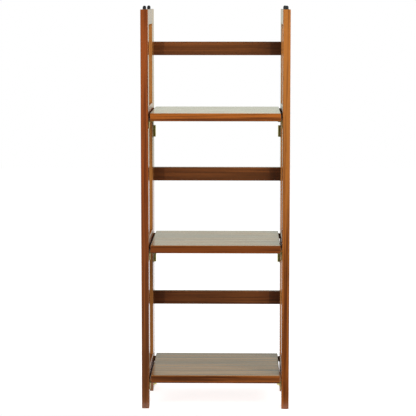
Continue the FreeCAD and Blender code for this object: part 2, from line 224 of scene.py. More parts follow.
class Groups:
    """Shader node groups that several finishes share, each built once."""

    WANDER_SIZE = (6.0, 6.0, 1.5)
    WANDER_DETAIL = 2.0
    WANDER_REACH = (0.012, 0.012, 0.0)
    DRIFT = GrainLayer(9.0, 1.6, 3.0, tone=0.9)
    RIPPLE = GrainLayer(42.0, 1.4, 2.0, tone=0.9)
    BANDS = GrainLayer(210.0, 2.6, 3.0, 0.6, 1.8)
    FIBRES = GrainLayer(620.0, 9.0, 5.0, 0.65, 0.7)
    PORES = GrainLayer(1500.0, 42.0, 2.0)
    PORE_EDGE = (0.62, 0.74)
    PORE_SHADE = 0.55
    # Cut ends darken towards the pore colour: end grain takes the stain darker, and on the shelf ends this
    # is also painted shade in the end gaps.
    END_GRAIN_SHADE = 0.55
    TONE_RANGE = (0.1, 0.9)
    PORE_ROUGHNESS = 0.5
    FIBRE_ROUGHNESS = 0.5
    PORE_DEPTH = -0.8
    FIBRE_HEIGHT = 0.35
    SMUDGE_DETAIL = 4.0
    SMUDGE_SHARPNESS = 0.6
    SMUDGE_EDGE = (0.42, 0.72)
    SCUFF_SIZE = (14.0, 3.0, 9.0)
    SCUFF_DETAIL = 3.0
    SCUFF_EDGE = (0.64, 0.7)
    EASED_EDGE = (0.80, 0.985)
    RUB_SIZE = (34.0, 34.0, 34.0)
    RUB_DETAIL = 3.0
    RUB_EDGE = (0.3, 0.65)
    CUT_END = (0.75, 0.97)

    _built: dict[str, bpy.types.NodeTree] = {}

    @classmethod
    def _start(
        cls, name: str, inputs: dict[str, str], outputs: dict[str, str],
    ) -> tuple[Graph, dict[str, Socket], dict[str, Socket]]:
        """Makes an empty group.

        Args:
            name: The group's name.
            inputs: Kinds of value, such as Float, by input name.
            outputs: Kinds of value by output name.

        Returns:
            Its graph, what it is given and where its results go, both by name.
        """
        tree = bpy.data.node_groups.new(name, "ShaderNodeTree")
        for direction, sockets in (("INPUT", inputs), ("OUTPUT", outputs)):
            for socket, kind in sockets.items():
                tree.interface.new_socket(socket, in_out=direction, socket_type=f"NodeSocket{kind}")
        entry = tree.nodes.new("NodeGroupInput")
        leave = tree.nodes.new("NodeGroupOutput")
        cls._built[name] = tree
        given = {socket: entry.outputs[socket] for socket in inputs}
        return Graph(tree), given, {socket: leave.inputs[socket] for socket in outputs}

    @classmethod
    def place(cls, graph: Graph, name: str, **inputs: Feed) -> bpy.types.Node:
        """Places a group in a material, building it the first time.

        Args:
            graph: The material's graph.
            name: The group's name, which is also its builder's name.
            inputs: What feeds the group's inputs.

        Returns:
            The group node.
        """
        if name not in cls._built:
            getattr(cls, name)()
        node = graph.tree.nodes.new("ShaderNodeGroup")
        node.node_tree = cls._built[name]
        for socket, value in inputs.items():
            graph.feed(node.inputs[socket.replace("_", " ")], value)
        return node

    @classmethod
    def wood_grain(cls) -> None:
        """Streaks, pores and slow tone drift along the third axis of its coordinates."""
        graph, given, result = cls._start(
            "wood_grain",
            {
                "Coordinates": "Vector",
                "Light": "Color",
                "Dark": "Color",
                "Pore": "Color",
                "Contrast": "Float",
                "End Grain": "Float",
            },
            {"Color": "Color", "Gloss": "Float", "Fibre Height": "Float", "Ripple Height": "Float"},
        )
        here = given["Coordinates"]
        sized = graph.stretched(here, cls.WANDER_SIZE)
        wander = graph.add("ShaderNodeTexNoise", Vector=sized, Scale=1.0, Detail=cls.WANDER_DETAIL)
        bent = graph.vector_math("MULTIPLY_ADD", wander.outputs["Color"], cls.WANDER_REACH, here)
        flow = bent.outputs[0]
        toned = (cls.DRIFT, cls.RIPPLE, cls.BANDS, cls.FIBRES)
        layers = {layer: layer.streaks(graph, flow) for layer in toned}
        tone: Feed = NOISE_MEAN
        for layer, streaks in layers.items():
            offset = graph.math("SUBTRACT", streaks, NOISE_MEAN)
            tone = graph.math("MULTIPLY_ADD", offset, layer.tone, tone)
        tone = graph.math("SUBTRACT", tone, NOISE_MEAN)
        tone = graph.math("MULTIPLY_ADD", tone, given["Contrast"], NOISE_MEAN)
        wood = graph.blend(graph.spread(tone, *cls.TONE_RANGE), given["Dark"], given["Light"])
        pores = graph.spread(cls.PORES.streaks(graph, flow), *cls.PORE_EDGE)
        for mask, shade in ((pores, cls.PORE_SHADE), (given["End Grain"], cls.END_GRAIN_SHADE)):
            wood = graph.blend(graph.math("MULTIPLY", mask, shade), wood, given["Pore"])
        fibres = layers[cls.FIBRES]
        gloss = graph.math("MULTIPLY", fibres, cls.FIBRE_ROUGHNESS)
        relief = graph.math("MULTIPLY", fibres, cls.FIBRE_HEIGHT)
        graph.feed(result["Color"], wood)
        graph.feed(result["Gloss"], graph.math("MULTIPLY_ADD", pores, cls.PORE_ROUGHNESS, gloss))
        graph.feed(result["Fibre Height"], graph.math("MULTIPLY_ADD", pores, cls.PORE_DEPTH, relief))
        graph.feed(result["Ripple Height"], layers[cls.RIPPLE])

    @classmethod
    def handling(cls) -> None:
        """Smudges and fine scuffs from use, each as a mask from 0, clean, to 1."""
        graph, given, result = cls._start(
            "handling", {"Coordinates": "Vector", "Scale": "Float"}, {"Smudge": "Float", "Scuff": "Float"},
        )
        scaled = graph.vector_math("SCALE", given["Coordinates"])
        graph.feed(scaled.inputs["Scale"], given["Scale"])
        here = scaled.outputs[0]
        smudge = graph.noise(here, cls.SMUDGE_DETAIL, cls.SMUDGE_SHARPNESS)
        scuff = graph.noise(graph.stretched(here, cls.SCUFF_SIZE), cls.SCUFF_DETAIL)
        graph.feed(result["Smudge"], graph.spread(smudge, *cls.SMUDGE_EDGE))
        graph.feed(result["Scuff"], graph.spread(scuff, *cls.SCUFF_EDGE))

    @classmethod
    def edge_rub(cls) -> None:
        """Patchy rubbing on the eased edges of square boards, where a face points along no single axis."""
        graph, given, result = cls._start(
            "edge_rub", {"Normal": "Vector", "Coordinates": "Vector"}, {"Rub": "Float"},
        )
        split = graph.add("ShaderNodeSeparateXYZ", Vector=given["Normal"])
        across, back, up = (graph.math("ABSOLUTE", split.outputs[axis]) for axis in AXES)
        square = graph.math("MAXIMUM", graph.math("MAXIMUM", across, back), up)
        eased = graph.spread(square, *cls.EASED_EDGE, 1.0, 0.0)
        patches = graph.noise(graph.stretched(given["Coordinates"], cls.RUB_SIZE), cls.RUB_DETAIL)
        graph.feed(result["Rub"], graph.math("MULTIPLY", eased, graph.spread(patches, *cls.RUB_EDGE)))

    @classmethod
    def along_grain(cls) -> None:
        """How squarely a face cuts across one axis, for end grain: 1 on the cut ends, 0 elsewhere."""
        graph, given, result = cls._start(
            "along_grain", {"Normal": "Vector", "Axis": "Vector"}, {"End Grain": "Float"},
        )
        dot = graph.vector_math("DOT_PRODUCT", given["Normal"], given["Axis"])
        cut = graph.math("ABSOLUTE", dot.outputs["Value"])
        graph.feed(result["End Grain"], graph.spread(cut, *cls.CUT_END))


class Surface:
    """A material's own coordinates and normal."""

    def __init__(self, graph: Graph) -> None:
        """Adds the coordinate nodes.

        Args:
            graph: The material's graph.
        """
        node = graph.tree.nodes.new("ShaderNodeTexCoord")
        self.graph = graph
        self.place = node.outputs["Object"]
        self.normal = node.outputs["Normal"]
        self.at = graph.add("ShaderNodeSeparateXYZ", Vector=self.place).outputs

    def facing(self, axis: str) -> Socket:
        """How far the surface points along an axis, from -1 to 1."""
        return self.graph.add("ShaderNodeSeparateXYZ", Vector=self.normal).outputs[axis]


class Tones(NamedTuple):
    """The light and the dark streaks of a stain."""

    light: Feed
    dark: Feed

    def into(self, graph: Graph, share: Socket, other: Tones) -> Tones:
        """These tones mixed with others by a share."""
        return Tones(*(graph.blend(share, mine, theirs) for mine, theirs in zip(self, other)))


def new_material(name: str) -> tuple[bpy.types.Material, Graph, bpy.types.Node]:
    """Makes a material with one surface shader.

    Args:
        name: The material's name.

    Returns:
        The material, its graph and its shader node.
    """
    material = bpy.data.materials.new(name)
    material.use_nodes = True
    shader = next(node for node in material.node_tree.nodes if node.type == "BSDF_PRINCIPLED")
    return material, Graph(material.node_tree), shader


@dataclass(frozen=True)
class Finish(ABC):
    """A named finish that builds its own material."""

    name: str

    @abstractmethod
    def material(self) -> bpy.types.Material:
        """Builds the finish as a material."""


@dataclass(frozen=True)
class WoodFinish(Finish):
    """Stained wood under a gloss lacquer, with its grain along one axis. Lengths are in metres.

    Attributes:
        grain: The axis of the grain.
        tones: The stain.
        pore: The colour of the pores, which also darkens cut ends, and is the painted shade of the dark ends
            and of the dull bands.
        rubbed: The colour of rubbed edges.
        wear: How much of it shows.
        contrast: How far the streaks depart from the mean tone.
        shift: How far the pattern is moved along the grain, so that like boards differ.
        roughness: The lacquer's roughness where it is smudged.
        grain_roughness: What the grain adds to it.
        smudge_roughness: How much smoother a clean place is.
        smudge_scale: How many smudges come to a metre.
        end_dullness: What a cut end or a dull band adds to it.
        coat: The weight of the clear coat.
        coat_roughness: The roughness of the clear coat.
        lacquer_ior: The refractive index under the coat.
        relief: The height of the fibres.
        ripple: The height of the slow waves.
        strip_width: The width of edge-glued strips, or 0 for a solid board.
        strip_shift: How far a strip's pattern may be moved along the grain.
        strip_shade: How far a strip may be darkened.
        dark_ends_from: How far from the middle plane the painted shade at the ends starts, or 0 for none.
        dark_ends_fade: How gradually it starts.
        dark_ends_shade: How dark it is.
        dull_painted_shade_bands: The lowest and highest level of each band on the inner faces where the
            lacquer is dull and shade is painted.
        band_fade: How gradually a band starts.
        painted_band_shade: How dark the painted shade in a band is.
        inner_face: How far a face points outward where the bands are full, and where they end.
        top: The paler colour painted on faces that point up, as painted light from above, if it differs.
        top_face: How far a face points up where that painted light starts, and where it is full.
        foot: The colour painted near the floor, standing in for how the lower part of the board is lit, if
            it differs.
        foot_height: The level where it has faded out.
    """

    grain: Grain
    tones: Tones = Tones((0.325, 0.072, 0.011), (0.145, 0.029, 0.005))
    pore: Colour = (0.060, 0.017, 0.004)
    rubbed: Colour = (0.560, 0.230, 0.055)
    wear: float = 0.45
    contrast: float = 1.3
    shift: float = 0.0
    roughness: float = 0.24
    grain_roughness: float = 0.07
    smudge_roughness: float = 0.03
    smudge_scale: float = 9.0
    end_dullness: float = 0.5
    coat: float = 0.12
    coat_roughness: float = 0.1
    lacquer_ior: float = 1.5
    relief: float = 0.000015
    ripple: float = 0.00008
    strip_width: float = 0.0
    strip_shift: float = 3.7
    strip_shade: float = 0.45
    dark_ends_from: float = 0.0
    dark_ends_fade: float = 0.002
    dark_ends_shade: float = 0.4
    dull_painted_shade_bands: tuple[tuple[float, float], ...] = ()
    band_fade: float = 0.003
    painted_band_shade: float = 0.85
    inner_face: tuple[float, float] = (-0.95, -0.7)
    top: Tones | None = None
    top_face: tuple[float, float] = (0.6, 0.95)
    foot: Tones | None = None
    foot_height: float = 0.6

    def material(self) -> bpy.types.Material:
        """Builds the finish as a material.

        Returns:
            The material.
        """
        material, graph, shader = new_material(self.name)
        surface = Surface(graph)
        axis = tuple(float(letter == self.grain.value) for letter in AXES)
        ends = Groups.place(graph, "along_grain", Normal=surface.normal, Axis=axis).outputs["End Grain"]
        wood, colour = self._wood(surface, ends)
        use = Groups.place(graph, "handling", Coordinates=surface.place, Scale=self.smudge_scale)
        gloss = self.roughness - self.smudge_roughness
        gloss = graph.math("MULTIPLY_ADD", wood.outputs["Gloss"], self.grain_roughness, gloss)
        gloss = graph.math("MULTIPLY_ADD", use.outputs["Smudge"], self.smudge_roughness, gloss)
        gloss = graph.math("MULTIPLY_ADD", ends, self.end_dullness, gloss)
        sealed = graph.math("MULTIPLY_ADD", ends, -self.coat, self.coat)
        # Painted shade: beside the shelf ends the colour is darkened towards the pore colour, and the
        # lacquer is dull.
        if self.dull_painted_shade_bands:
            bare = self._beside_shelves(surface)
            gloss = graph.math("MULTIPLY_ADD", bare, self.end_dullness, gloss)
            sealed = graph.math("MULTIPLY_ADD", bare, -self.coat, sealed)
            colour = graph.blend(graph.math("MULTIPLY", bare, self.painted_band_shade), colour, self.pore)
        height = graph.math("MULTIPLY", wood.outputs["Fibre Height"], self.relief)
        height = graph.math("MULTIPLY_ADD", wood.outputs["Ripple Height"], self.ripple, height)
        bump = graph.add("ShaderNodeBump", Height=height, Distance=1.0, Strength=1.0)
        graph.feed(shader.inputs["Base Color"], colour)
        graph.feed(shader.inputs["Roughness"], gloss)
        graph.feed(shader.inputs["Normal"], bump.outputs["Normal"])
        graph.feed(shader.inputs["Coat Weight"], sealed)
        shader.inputs["IOR"].default_value = self.lacquer_ior
        shader.inputs["Coat Roughness"].default_value = self.coat_roughness
        return material

    def _wood(self, surface: Surface, ends: Socket) -> tuple[bpy.types.Node, Socket]:
        """Lays out the grain and its stain.

        Args:
            surface: The material's coordinates.
            ends: The mask of the cut ends.

        Returns:
            The grain's group node, and the colour with its strips, the painted shade at its ends and rubbed
            edges.
        """
        graph = surface.graph
        turn = AXES.index(self.grain.value)
        across, aside, along = (surface.at[AXES[turn - step]] for step in (2, 1, 0))
        if self.shift:
            along = graph.math("ADD", along, self.shift)
        if self.strip_width:
            along, strip_dark = self._strips(surface, along)
        turned = graph.add("ShaderNodeCombineXYZ", X=across, Y=aside, Z=along)
        tones = self._tones(surface)
        wood = Groups.place(
            graph, "wood_grain", Coordinates=turned.outputs[0], Light=tones.light, Dark=tones.dark,
            Pore=self.pore, Contrast=self.contrast, End_Grain=ends,
        )
        colour = wood.outputs["Color"]
        if self.strip_width:
            colour = graph.blend(strip_dark, colour, tones.dark)
        # Painted shade: the colour darkens towards the pore colour near the ends, where the rails meet the
        # posts.
        if self.dark_ends_from:
            reach = graph.math("ABSOLUTE", surface.at["X"])
            start, fade = self.dark_ends_from, self.dark_ends_fade
            painted_end_shade = graph.spread(reach, start - fade, start + fade, 0.0, self.dark_ends_shade)
            colour = graph.blend(painted_end_shade, colour, self.pore)
        edges = Groups.place(graph, "edge_rub", Normal=surface.normal, Coordinates=surface.place)
        rubbed = graph.math("MULTIPLY", edges.outputs["Rub"], self.wear)
        return wood, graph.blend(rubbed, colour, self.rubbed)

    def _tones(self, surface: Surface) -> Tones:
        """Varies the colour between a board's sides, its top and its foot, as painted light: a paler top, as
        lit from above, and other tones near the floor for how the lower part is lit.

        Args:
            surface: The material's coordinates.

        Returns:
            The light and dark tones.
        """
        graph, tones = surface.graph, self.tones
        # Painted light: faces that point up turn paler, as lit from above.
        if self.top:
            lit_top_share = graph.spread(surface.facing("Z"), *self.top_face)
            tones = tones.into(graph, lit_top_share, self.top)
        # Painted light: near the floor the colour takes other tones, for how the lower part is lit.
        if self.foot:
            lower = graph.spread(surface.at["Z"], 0.0, self.foot_height, 1.0, 0.0)
            tones = tones.into(graph, lower, self.foot)
        return tones

    def _beside_shelves(self, surface: Surface) -> Socket:
        """Finds the inner faces beside the shelf ends, kept dull and darkened with painted shade so that the
        end gaps read dark.

        Args:
            surface: The material's coordinates.

        Returns:
            1 in the bands on inner faces, 0 elsewhere.
        """
        graph, height = surface.graph, surface.at["Z"]
        outward = graph.math("MULTIPLY", surface.facing("X"), graph.math("SIGN", surface.at["X"]))
        inner = graph.spread(outward, *self.inner_face, 1.0, 0.0)
        bands: Feed = 0.0
        for low, high in self.dull_painted_shade_bands:
            above = graph.spread(height, low - self.band_fade, low)
            below = graph.spread(height, high - self.band_fade, high, 1.0, 0.0)
            bands = graph.math("MULTIPLY_ADD", above, below, bands)
        return graph.math("MULTIPLY", bands, inner)

    def _strips(self, surface: Surface, along: Socket) -> tuple[Socket, Socket]:
        """Cuts a panel into edge-glued strips.

        Args:
            surface: The material's coordinates.
            along: The coordinate along the grain.

        Returns:
            The coordinate along the grain with each strip shifted, and each strip's darkening.
        """
        graph = surface.graph
        number = graph.math("FLOOR", graph.math("DIVIDE", surface.at["Y"], self.strip_width))
        chance = graph.tree.nodes.new("ShaderNodeTexWhiteNoise")
        chance.noise_dimensions = "1D"
        graph.feed(chance.inputs["W"], number)
        value = chance.outputs["Value"]
        shifted = graph.math("MULTIPLY_ADD", value, self.strip_shift, along)
        return shifted, graph.math("MULTIPLY", value, self.strip_shade)


@dataclass(frozen=True)
class MetalFinish(Finish):
    """Plated or plain metal with smudges and fine scuffs."""

    colour: Colour
    tarnish: Colour
    roughness: float
    smudge_scale: float = 160.0
    smudge_tarnish: float = 0.6
    smudge_roughness: float = 0.18
    scuff_depth: float = 0.00003
    scuff_strength: float = 0.35

    def material(self) -> bpy.types.Material:
        """Builds the finish as a material.

        Returns:
            The material.
        """
        material, graph, shader = new_material(self.name)
        place = graph.tree.nodes.new("ShaderNodeTexCoord").outputs["Object"]
        use = Groups.place(graph, "handling", Coordinates=place, Scale=self.smudge_scale)
        dull = graph.math("MULTIPLY", use.outputs["Smudge"], self.smudge_tarnish)
        gloss = graph.math("MULTIPLY_ADD", use.outputs["Smudge"], self.smudge_roughness, self.roughness)
        bump = graph.add(
            "ShaderNodeBump", Height=use.outputs["Scuff"],
            Distance=self.scuff_depth, Strength=self.scuff_strength,
        )
        graph.feed(shader.inputs["Base Color"], graph.blend(dull, self.colour, self.tarnish))
        graph.feed(shader.inputs["Roughness"], gloss)
        graph.feed(shader.inputs["Normal"], bump.outputs["Normal"])
        shader.inputs["Metallic"].default_value = 1.0
        return material


@dataclass(frozen=True)
class MouldedFinish(Finish):
    """Moulded plastic or bare turned wood: a plain colour with mottling and a fine texture."""

    colour: Colour
    shade: Colour
    roughness: float
    smudge_scale: float = 220.0
    smudge_roughness: float = 0.15
    mottle_scale: float = 880.0
    mottle_detail: float = 3.0
    texture_depth: float = 0.00004
    texture_strength: float = 0.3

    def material(self) -> bpy.types.Material:
        """Builds the finish as a material.

        Returns:
            The material.
        """
        material, graph, shader = new_material(self.name)
        place = graph.tree.nodes.new("ShaderNodeTexCoord").outputs["Object"]
        use = Groups.place(graph, "handling", Coordinates=place, Scale=self.smudge_scale)
        mottle = graph.noise(place, self.mottle_detail, scale=self.mottle_scale)
        gloss = graph.math("MULTIPLY_ADD", use.outputs["Smudge"], self.smudge_roughness, self.roughness)
        bump = graph.add(
            "ShaderNodeBump", Height=mottle, Distance=self.texture_depth, Strength=self.texture_strength,
        )
        graph.feed(shader.inputs["Base Color"], graph.blend(mottle, self.colour, self.shade))
        graph.feed(shader.inputs["Roughness"], gloss)
        graph.feed(shader.inputs["Normal"], bump.outputs["Normal"])
        return material


def shelf_shade_bands(reach: float) -> tuple[tuple[float, float], ...]:
    """The heights from each shelf's top down by a reach, for the bands of painted shade beside the shelf
    ends.
    """
    tops = (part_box(f"shelf_{level}")[1][2] for level in LEVELS)
    return tuple((top - reach, top) for top in tops)


# Bands of painted shade, with dull lacquer, on the inner faces beside the shelf ends.
FRONT_STILE_SHADE_BANDS = shelf_shade_bands(0.022)
REAR_STILE_SHADE_BANDS = shelf_shade_bands(0.045)
RAIL_SHADE_BANDS = shelf_shade_bands(0.05)
STILE_PAINTED_SHADE = 0.4
# Painted light: the rear stiles and back posts get a paler honey than the front stiles, for the light that
# reaches their front faces.
PAINTED_LIT_HONEY = Tones((0.480, 0.190, 0.040), (0.280, 0.098, 0.020))
# The right front stile's lighter tones are partly the board's own colour and partly painted light from the
# lamps on the right. The foot tones are painted light near the floor.
UPRIGHT_WOOD = {
    "left": WoodFinish(
        "left_upright_wood", Grain.UPRIGHT, shift=4.7,
        dull_painted_shade_bands=FRONT_STILE_SHADE_BANDS, painted_band_shade=STILE_PAINTED_SHADE,
        foot=Tones((0.330, 0.105, 0.026), (0.150, 0.044, 0.011)),
    ),
    "right": WoodFinish(
        "right_upright_wood", Grain.UPRIGHT, Tones((0.400, 0.140, 0.025), (0.130, 0.036, 0.008)),
        contrast=1.6, dull_painted_shade_bands=FRONT_STILE_SHADE_BANDS, painted_band_shade=STILE_PAINTED_SHADE,
        foot=Tones((0.430, 0.115, 0.013), (0.140, 0.031, 0.004)), foot_height=0.8,
    ),
}
BACK_POST_WOOD = WoodFinish("back_post_wood", Grain.UPRIGHT, PAINTED_LIT_HONEY)
REAR_STILE_WOOD = WoodFinish(
    "rear_stile_wood", Grain.UPRIGHT, PAINTED_LIT_HONEY, dull_painted_shade_bands=REAR_STILE_SHADE_BANDS, painted_band_shade=STILE_PAINTED_SHADE,
)
TOP_RAIL_WOOD = WoodFinish("top_rail_wood", Grain.BACKWARD)
SHELF_RAIL_WOOD = WoodFinish("shelf_rail_wood", Grain.BACKWARD, dull_painted_shade_bands=RAIL_SHADE_BANDS)
# The dark ends are painted shade on the rail ends beside the posts.
BACK_RAIL_WOOD = WoodFinish(
    "back_rail_wood", Grain.ACROSS, Tones((0.290, 0.092, 0.021), (0.150, 0.048, 0.012)),
    dark_ends_from=0.133,
)
# Painted light and shade: one stain in a lit and a shaded copy for each shelf's edges, the middle one
# darkest, as in shade.
SHELF_LIT_AND_SHADED_TONES = {
    "bottom": Tones((0.430, 0.120, 0.020), (0.105, 0.028, 0.006)),
    "middle": Tones((0.250, 0.062, 0.010), (0.065, 0.016, 0.004)),
    "top": Tones((0.440, 0.122, 0.017), (0.125, 0.032, 0.006)),
}
# Each shelf's top faces get a paler colour: painted light from above.
SHELF_WOOD = {
    level: WoodFinish(
        f"{level}_shelf_wood", Grain.ACROSS, tones, contrast=1.7, roughness=0.15, coat=0.04,
        relief=0.000004, ripple=0.0004, strip_width=0.046,
        top=Tones((0.480, 0.235, 0.075), (0.200, 0.088, 0.026)),
    )
    for level, tones in SHELF_LIT_AND_SHADED_TONES.items()
}
BRASS = MetalFinish("brass_plate", (0.80, 0.73, 0.28), (0.38, 0.37, 0.13), 0.3)
SCREW_BRASS = MetalFinish("screw_brass", (0.40, 0.37, 0.15), (0.16, 0.16, 0.06), 0.36)
BRIGHT_BRASS = MetalFinish("bright_brass_plate", (0.86, 0.75, 0.24), (0.48, 0.42, 0.13), 0.28)
STEEL = MetalFinish("steel_pin", (0.56, 0.56, 0.57), (0.32, 0.31, 0.30), 0.3)
PEG_BLACK = MouldedFinish("peg_black", (0.022, 0.023, 0.026), (0.034, 0.035, 0.038), 0.3)
NYLON = MouldedFinish("brown_nylon", (0.10, 0.055, 0.03), (0.13, 0.075, 0.04), 0.45)
BEECH = MouldedFinish("bare_beech", (0.58, 0.40, 0.22), (0.50, 0.33, 0.17), 0.6)


class Materials:
    """The materials built so far, one for each finish."""

    def __init__(self) -> None:
        """Starts with none."""
        self._made: dict[str, bpy.types.Material] = {}

    def of(self, finish: Finish) -> bpy.types.Material:
        """Gives a finish's material, building it the first time.

        Args:
            finish: The finish.

        Returns:
            Its material.
        """
        if finish.name not in self._made:
            self._made[finish.name] = finish.material()
        return self._made[finish.name]


def loose_boxes(mesh: bpy.types.Mesh) -> list[tuple[Vector, Vector]]:
    """Finds the separate solids of a mesh.

    Args:
        mesh: The mesh, which is only read.

    Returns:
        The lowest and highest corner of each solid, in the order of its first vertex.
    """
    form = bmesh.new()
    form.from_mesh(mesh)
    bmesh.ops.remove_doubles(form, verts=form.verts, dist=MERGE_DISTANCE)
    boxes, met = [], set()
    for first in form.verts:
        if first in met:
            continue
        met.add(first)
        waiting, points = [first], []
        while waiting:
            vertex = waiting.pop()
            points.append(vertex.co.copy())
            near = {edge.other_vert(vertex) for edge in vertex.link_edges} - met
            met |= near
            waiting.extend(near)
        boxes.append(tuple(Vector(pick(axis) for axis in zip(*points)) for pick in (min, max)))
    form.free()
    return boxes


@dataclass(frozen=True)
class CrossScrews:
    """Countersunk wood screws with a cross recess, in place of one node of plain screws.

    Attributes:
        node: The node of plain screws, which gives their places.
        body: The body that the screws ride on.
        side: The side of the case whose wood they enter.
        finish: Their metal.
        head_depth: How deep the countersunk head is.
        head_radius: The head's radius.
        shank_radius: The shank's radius.
        length: From the head's face to the point.
        tip: The length of the pointed end.
        rim: The width of the eased rim, and the radius of the blunt point.
        recess_reach: How far the recess reaches from the axis.
        recess_half_width: Half the width of its arms.
        recess_depth: How deep it is.
        recess_taper: The share of its size that is left at its floor.
        first_turn: How far the first screw is turned, in radians.
        next_turn: How much further each next one is turned.
        steps: How many corners stand for a circle.
        arms: How many arms the recess has.
    """

    node: str
    body: str
    side: str
    finish: MetalFinish
    head_depth: float
    head_radius: float = 0.0026
    shank_radius: float = 0.0014
    length: float = 0.011
    tip: float = 0.003
    rim: float = 0.0002
    recess_reach: float = 0.00155
    recess_half_width: float = 0.00036
    recess_depth: float = 0.0011
    recess_taper: float = 0.6
    first_turn: float = 0.35
    next_turn: float = 0.8
    steps: int = 40
    arms: int = 4

    def build(self, materials: Materials) -> bpy.types.Object:
        """Makes the screws as one piece that rides on its body.

        Args:
            materials: The materials built so far.

        Returns:
            The piece.
        """
        form = bmesh.new()
        inward = 1.0 if self.side == "left" else -1.0
        aim = Vector((0.0, 0.0, 1.0)).rotation_difference(Vector((-inward, 0.0, 0.0))).to_matrix().to_4x4()
        for number, (low, high) in enumerate(loose_boxes(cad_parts[self.node].data)):
            start = (low + high) / 2
            start.x = high.x if inward > 0 else low.x
            spin = Matrix.Rotation(self.first_turn + self.next_turn * number, 4, "Z")
            self._screw(form, Matrix.Translation(start) @ aim @ spin)
        bmesh.ops.recalc_face_normals(form, faces=form.faces)
        mesh = bpy.data.meshes.new(f"{self.node}_cross")
        form.to_mesh(mesh)
        form.free()
        mesh.materials.append(materials.of(self.finish))
        piece = bpy.data.objects.new(f"{self.node}_cross", mesh)
        bpy.context.scene.collection.objects.link(piece)
        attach(piece, self.body)
        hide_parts(self.node)
        return piece

    def _screw(self, form: bmesh.types.BMesh, place: Matrix) -> None:
        """Adds one closed screw.

        Args:
            form: The mesh to add to.
            place: From the screw's own axes to the shared frame. Its head's face is at 0, its point along Z.
        """
        face = self._ring(form, place, self.head_radius - self.rim, 0.0)
        edge = self._ring(form, place, self.head_radius, self.rim / 2)
        neck = self._ring(form, place, self.shank_radius, self.head_depth)
        foot = self._ring(form, place, self.shank_radius, self.length - self.tip)
        point = self._ring(form, place, self.rim, self.length)
        mouth = self._cross(form, place, 1.0, 0.0)
        floor = self._cross(form, place, self.recess_taper, self.recess_depth)
        for first, second in ((face, edge), (edge, neck), (neck, foot), (foot, point)):
            self._band(form, first, second, True)
        self._band(form, mouth, floor, False)
        form.faces.new(floor)
        form.faces.new(point)
        edges = [form.edges.get((loop[k - 1], loop[k])) for loop in (face, mouth) for k in range(len(loop))]
        bmesh.ops.triangle_fill(form, use_beauty=True, edges=edges)

    def _ring(
        self, form: bmesh.types.BMesh, place: Matrix, radius: float, depth: float,
    ) -> list[bmesh.types.BMVert]:
        """Adds a circle of vertices.

        Args:
            form: The mesh to add to.
            place: From the screw's own axes to the shared frame.
            radius: The circle's radius.
            depth: How far it lies below the head's face.

        Returns:
            The vertices in order.
        """
        angles = (2 * math.pi * k / self.steps for k in range(self.steps))
        points = (Vector((radius * math.cos(angle), radius * math.sin(angle), depth)) for angle in angles)
        return [form.verts.new(place @ point) for point in points]

    def _cross(
        self, form: bmesh.types.BMesh, place: Matrix, share: float, depth: float,
    ) -> list[bmesh.types.BMVert]:
        """Adds the twelve corners of the recess.

        Args:
            form: The mesh to add to.
            place: From the screw's own axes to the shared frame.
            share: The share of its full size that it is drawn in to.
            depth: How far the corners lie below the head's face.

        Returns:
            The vertices in order.
        """
        reach, half = self.recess_reach * share, self.recess_half_width * share
        arm = (Vector((reach, -half, depth)), Vector((reach, half, depth)), Vector((half, half, depth)))
        turns = [Matrix.Rotation(2 * math.pi * k / self.arms, 4, "Z") for k in range(self.arms)]
        return [form.verts.new(place @ (turn @ corner)) for turn in turns for corner in arm]

    @staticmethod
    def _band(
        form: bmesh.types.BMesh,
        first: list[bmesh.types.BMVert],
        second: list[bmesh.types.BMVert],
        smooth: bool,
    ) -> None:
        """Adds the faces between two loops of as many vertices.

        Args:
            form: The mesh to add to.
            first: One loop.
            second: The other loop.
            smooth: Whether the faces are shaded as one round surface.
        """
        for k in range(len(first)):
            form.faces.new((first[k - 1], first[k], second[k], second[k - 1])).smooth = smooth


class SubAssembly(ABC):
    """Frame nodes that belong together, and the screws that are made for them."""

    title: str

    @abstractmethod
    def finishes(self) -> dict[str, Finish]:
        """The finish of each node, by the node's name."""

    def screws(self) -> list[CrossScrews]:
        """The sets of screws that show their heads."""
        return []

    def dress(self, materials: Materials) -> None:
        """Puts each node's finish on its material slots.

        Args:
            materials: The materials built so far.
        """
        for node, finish in self.finishes().items():
            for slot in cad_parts[node].material_slots:
                slot.material = materials.of(finish)
            LOG.info("%s: %s in %s", self.title, node, finish.name)

    def build(self, materials: Materials) -> None:
        """Makes the screws.

        Args:
            materials: The materials built so far.
        """
        for screws in self.screws():
            piece = screws.build(materials)
            LOG.info("%s: %s rides on %s", self.title, piece.name, screws.body)


@dataclass
class BackFrame(SubAssembly):
    """Back posts, back rails and what they carry."""

    title: str = "back frame"

    def finishes(self) -> dict[str, Finish]:
        """Names the nodes and their finishes.

        Returns:
            Finishes by node.
        """
        chosen: dict[str, Finish] = {}
        for side in SIDES:
            chosen[f"back_post_{side}"] = BACK_POST_WOOD
            chosen[f"{side}_hinge_post_leaves"] = BRASS
            chosen[f"{side}_hinge_pins"] = BRASS
        for level in LEVELS:
            chosen[f"back_rail_{level}"] = BACK_RAIL_WOOD
        chosen.update(back_rail_dowels=BEECH, shelf_pivot_pins=STEEL, pivot_washers=NYLON)
        return chosen

    def screws(self) -> list[CrossScrews]:
        """Lists the screws of the hinge leaves on the posts.

        Returns:
            One set for each side.
        """
        return [
            CrossScrews(f"{side}_hinge_post_screws", "back_frame", side, SCREW_BRASS, HINGE_HEAD_DEPTH)
            for side in SIDES
        ]


